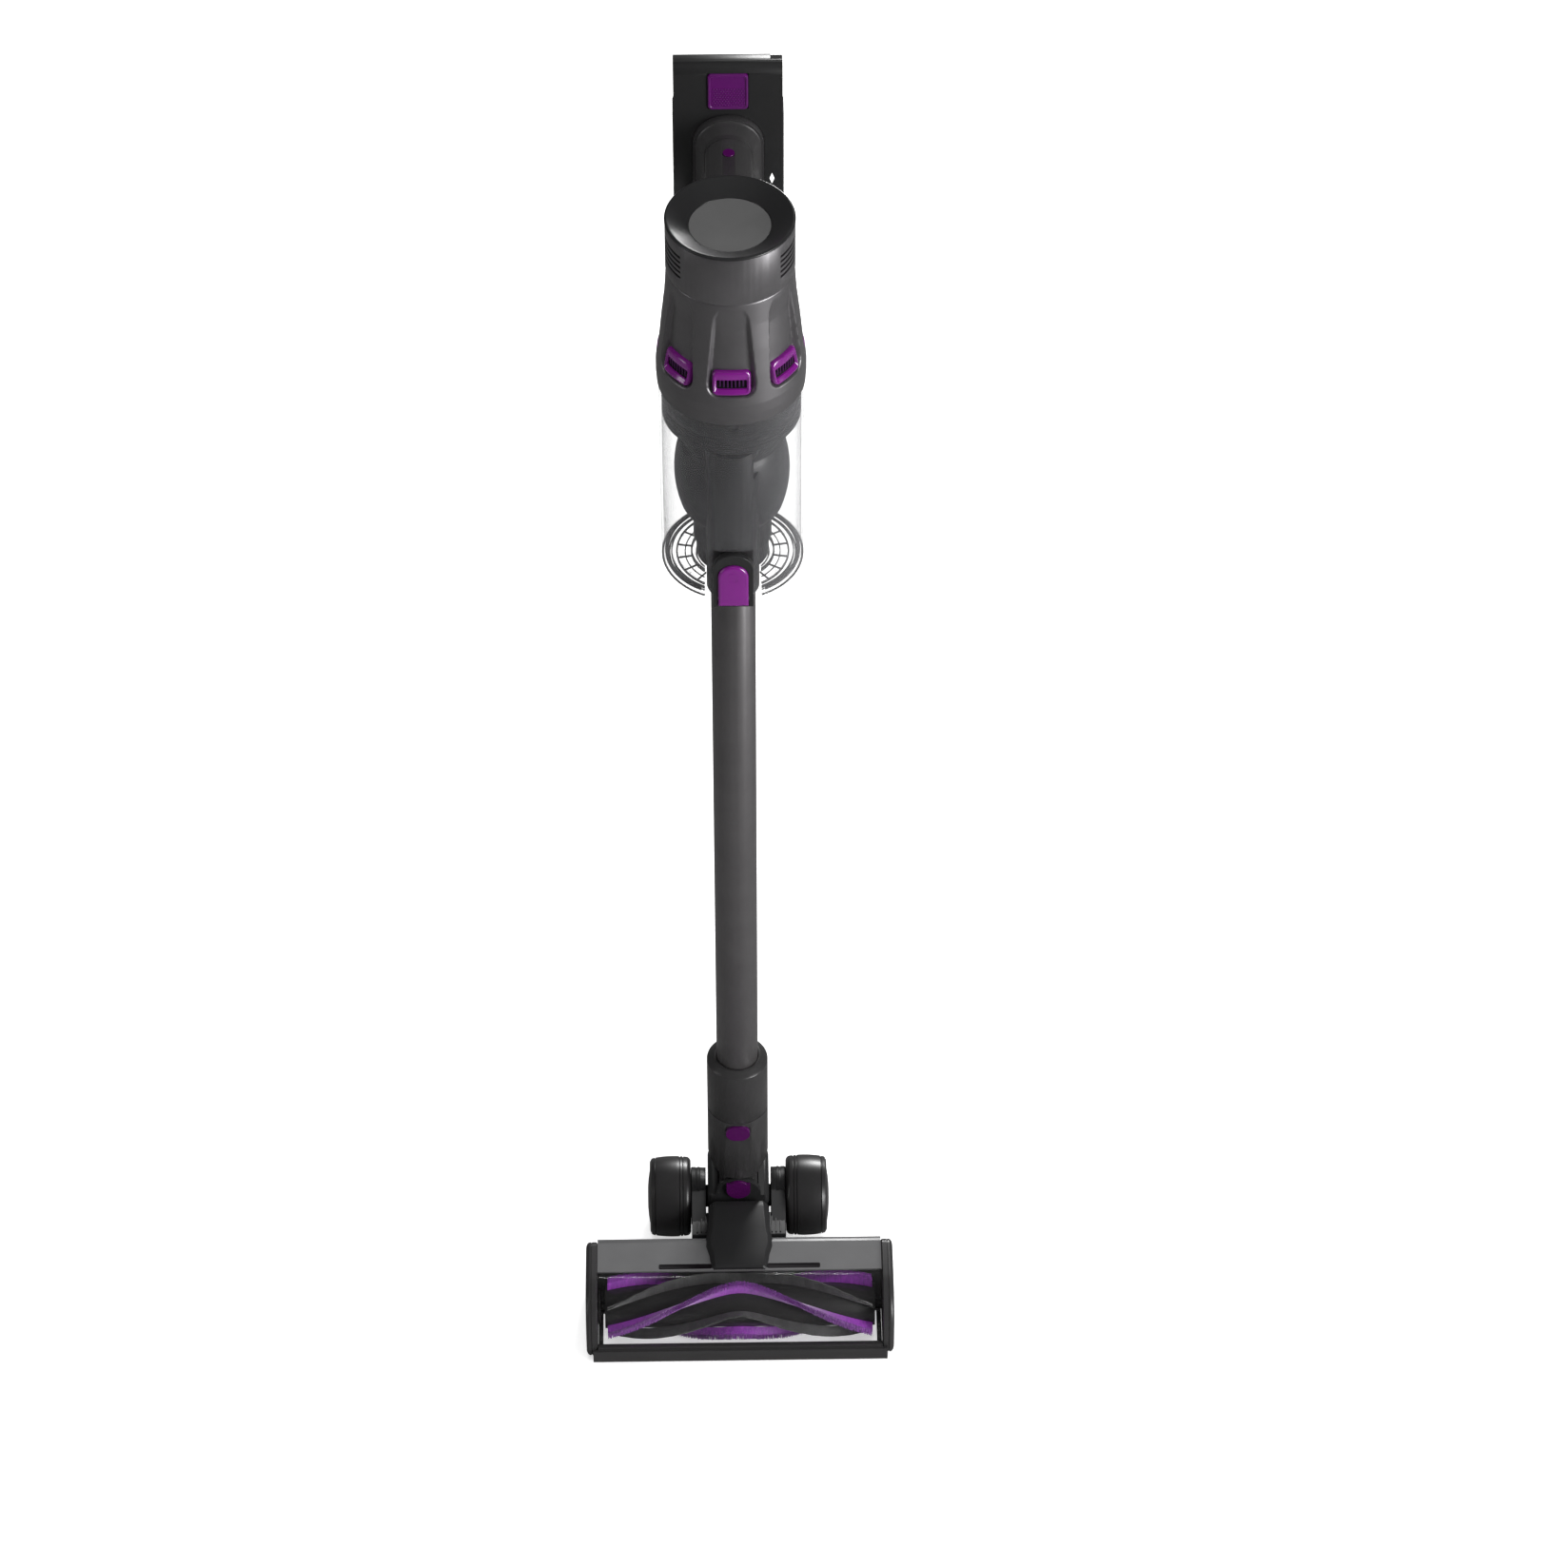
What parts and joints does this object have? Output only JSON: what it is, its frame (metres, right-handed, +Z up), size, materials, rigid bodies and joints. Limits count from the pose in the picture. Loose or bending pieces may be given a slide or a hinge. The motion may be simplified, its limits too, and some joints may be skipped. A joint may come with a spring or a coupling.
{
  "type": "cordless stick vacuum",
  "caption": "Upright battery stick vacuum: cyclone bin and pistol grip over a long wand and a wheeled, tilting floor head with a powered brush.",
  "frame": {"origin": "on the floor, under the middle of the whole object's box", "axes": "+Z up along the wand, -Y towards the front of the floor head, +X to the right seen from the front"},
  "size_m": [0.244, 0.341, 1.057],
  "materials": {
    "gunmetal_shell": "satin metallic grey plastic",
    "dark_shell": "fine satin black plastic",
    "gloss_rim": "polished black plastic",
    "display_glass": "matt grey screen",
    "circuit_board": "green fibreglass laminate",
    "purple_gloss": "glossy purple plastic",
    "purple_grip": "dotted purple plastic",
    "filter_paper": "pleated white filter media",
    "motor_metal": "brushed motor can",
    "fan_metal": "machined impeller",
    "core_plastic": "dark cyclone plastic",
    "clear_plastic": "clear moulded bin",
    "seal_rubber": "soft black rubber",
    "steel_pin": "ground steel",
    "battery_shell": "fine textured black plastic",
    "cell_wrap": "shrink-wrapped cells",
    "lens_white": "white light lens",
    "wand_paint": "satin gunmetal anodised tube",
    "contact_plastic": "black contact ring",
    "cable_sleeve": "insulated lead",
    "elbow_plastic": "satin dark grey plastic",
    "wheel_plastic": "satin black plastic",
    "tyre_rubber": "soft rolling tyre",
    "head_grey": "satin grey plastic",
    "window_clear": "clear brush window",
    "bristle_purple": "dense purple bristle",
    "bristle_black": "black sweeper strip"
  },
  "bodies": {
    "main_unit": {"motor_housing": "gunmetal_shell", "vent_grilles": "purple_gloss", "exhaust_band": "gunmetal_shell", "top_bezel": "gloss_rim", "display_lens": "display_glass", "control_board": "circuit_board", "filter_cartridge": "filter_paper", "suction_motor": "motor_metal", "bin_seat_ring": "core_plastic", "cyclone_core": "core_plastic", "inlet_duct": "core_plastic", "bin_shell": "clear_plastic", "lid_hinge_pin": "steel_pin", "latch_frame": "clear_plastic", "handle_grip": "gunmetal_shell", "trigger_spring": "steel_pin"},
    "fan": {"fan": "fan_metal"},
    "wand_release": {"wand_release_button": "purple_gloss"},
    "power_switch": {"power_button": "purple_gloss"},
    "trigger": {"trigger": "dark_shell"},
    "bin_lid": {"bin_lid": "clear_plastic", "lid_seal": "seal_rubber"},
    "battery": {"battery_case": "battery_shell", "battery_cells": "cell_wrap", "battery_board": "circuit_board", "charging_socket": "contact_plastic", "indicator_lens": "lens_white", "battery_grip_pads": "seal_rubber"},
    "battery_latch": {"battery_latch": "purple_grip"},
    "wand": {"wand_tube": "wand_paint", "wand_plugs": "contact_plastic", "wand_wiring": "cable_sleeve"},
    "elbow": {"elbow_body": "elbow_plastic", "elbow_collar": "elbow_plastic"},
    "head_release": {"head_release_button": "purple_gloss"},
    "yoke": {"tilt_yoke": "dark_shell", "swivel_pins": "steel_pin", "swivel_cap": "purple_gloss"},
    "head": {"head_housing": "head_grey", "brush_window": "window_clear", "front_bar": "elbow_plastic", "sole_plate": "dark_shell", "end_cap_left": "elbow_plastic", "head_neck": "dark_shell", "wheel_brackets": "dark_shell", "wheel_axles": "steel_pin", "brush_motor": "motor_metal", "drive_belt": "seal_rubber"},
    "end_cap": {"end_cap_right": "elbow_plastic", "brush_bearing": "contact_plastic"},
    "motor_pulley": {"motor_pulley": "steel_pin"},
    "brush": {"brush_core": "wheel_plastic", "bristle_strips": "bristle_purple", "sweeper_strips": "bristle_black"},
    "wheel_left": {"wheel_hub_left": "wheel_plastic", "wheel_tyre_left": "tyre_rubber"},
    "wheel_right": {"wheel_hub_right": "wheel_plastic", "wheel_tyre_right": "tyre_rubber"},
    "roller_left": {"sole_roller_left": "contact_plastic"},
    "roller_right": {"sole_roller_right": "contact_plastic"}
  },
  "joints": [
    {"name": "fan_spin", "type": "hinge", "parent": "main_unit", "child": "fan", "pos_m": [0, 0.0065, 0.93], "axis": [0, 0, 1], "continuous": true},
    {"name": "wand_release_press", "type": "slide", "parent": "main_unit", "child": "wand_release", "axis": [0, 1, 0], "range_m": [0, 0.0025], "stiffness_N_per_m": 600, "springref_m": -0.002},
    {"name": "power_press", "type": "slide", "parent": "main_unit", "child": "power_switch", "axis": [0, 0, -1], "range_m": [0, 0.0012], "stiffness_N_per_m": 600, "springref_m": -0.002},
    {"name": "trigger_pull", "type": "slide", "parent": "main_unit", "child": "trigger", "axis": [0, 0, 1], "range_m": [0, 0.004], "stiffness_N_per_m": 600, "springref_m": -0.002, "deforming": ["trigger_spring"]},
    {"name": "bin_lid_hinge", "type": "hinge", "parent": "main_unit", "child": "bin_lid", "pos_m": [0, 0.0634, 0.7178], "axis": [1, 0, 0], "range_deg": [0, 95]},
    {"name": "battery_slide", "type": "slide", "parent": "main_unit", "child": "battery", "axis": [0, 0, 1], "range_m": [0, 0.1]},
    {"name": "battery_latch_press", "type": "slide", "parent": "battery", "child": "battery_latch", "axis": [0, 1, 0], "range_m": [0, 0.0025], "stiffness_N_per_m": 600, "springref_m": -0.002},
    {"name": "wand_pull", "type": "slide", "parent": "main_unit", "child": "wand", "axis": [0, 0, -1], "range_m": [0, 0.05]},
    {"name": "head_pull", "type": "slide", "parent": "wand", "child": "elbow", "axis": [0, 0, -1], "range_m": [0, 0.06]},
    {"name": "head_release_press", "type": "slide", "parent": "elbow", "child": "head_release", "axis": [0, 1, 0], "range_m": [0, 0.002], "stiffness_N_per_m": 600, "springref_m": -0.002},
    {"name": "head_lean", "type": "hinge", "parent": "elbow", "child": "yoke", "pos_m": [0, -0.0235, 0.062], "axis": [0, 1, 0], "range_deg": [-25, 25]},
    {"name": "head_tilt", "type": "hinge", "parent": "yoke", "child": "head", "pos_m": [0, -0.0235, 0.0325], "axis": [1, 0, 0], "range_deg": [0, 80]},
    {"name": "end_cap_pull", "type": "slide", "parent": "head", "child": "end_cap", "axis": [1, 0, 0], "range_m": [0, 0.03]},
    {"name": "brush_spin", "type": "hinge", "parent": "head", "child": "brush", "pos_m": [0, -0.136, 0.03], "axis": [1, 0, 0], "continuous": true},
    {"name": "motor_spin", "type": "hinge", "parent": "head", "child": "motor_pulley", "pos_m": [-0.115, -0.097, 0.017], "axis": [1, 0, 0], "continuous": true},
    {"name": "wheel_left_spin", "type": "hinge", "parent": "head", "child": "wheel_left", "pos_m": [-0.055, -0.0235, 0.0325], "axis": [1, 0, 0], "continuous": true},
    {"name": "wheel_right_spin", "type": "hinge", "parent": "head", "child": "wheel_right", "pos_m": [0.055, -0.0235, 0.0325], "axis": [1, 0, 0], "continuous": true},
    {"name": "roller_left_spin", "type": "hinge", "parent": "head", "child": "roller_left", "pos_m": [-0.061, -0.096, 0.006], "axis": [1, 0, 0], "continuous": true},
    {"name": "roller_right_spin", "type": "hinge", "parent": "head", "child": "roller_right", "pos_m": [0.061, -0.096, 0.006], "axis": [1, 0, 0], "continuous": true}
  ],
  "couplings": [
    {"joint": "motor_spin", "follows": "brush_spin", "ratio": 2}
  ]
}
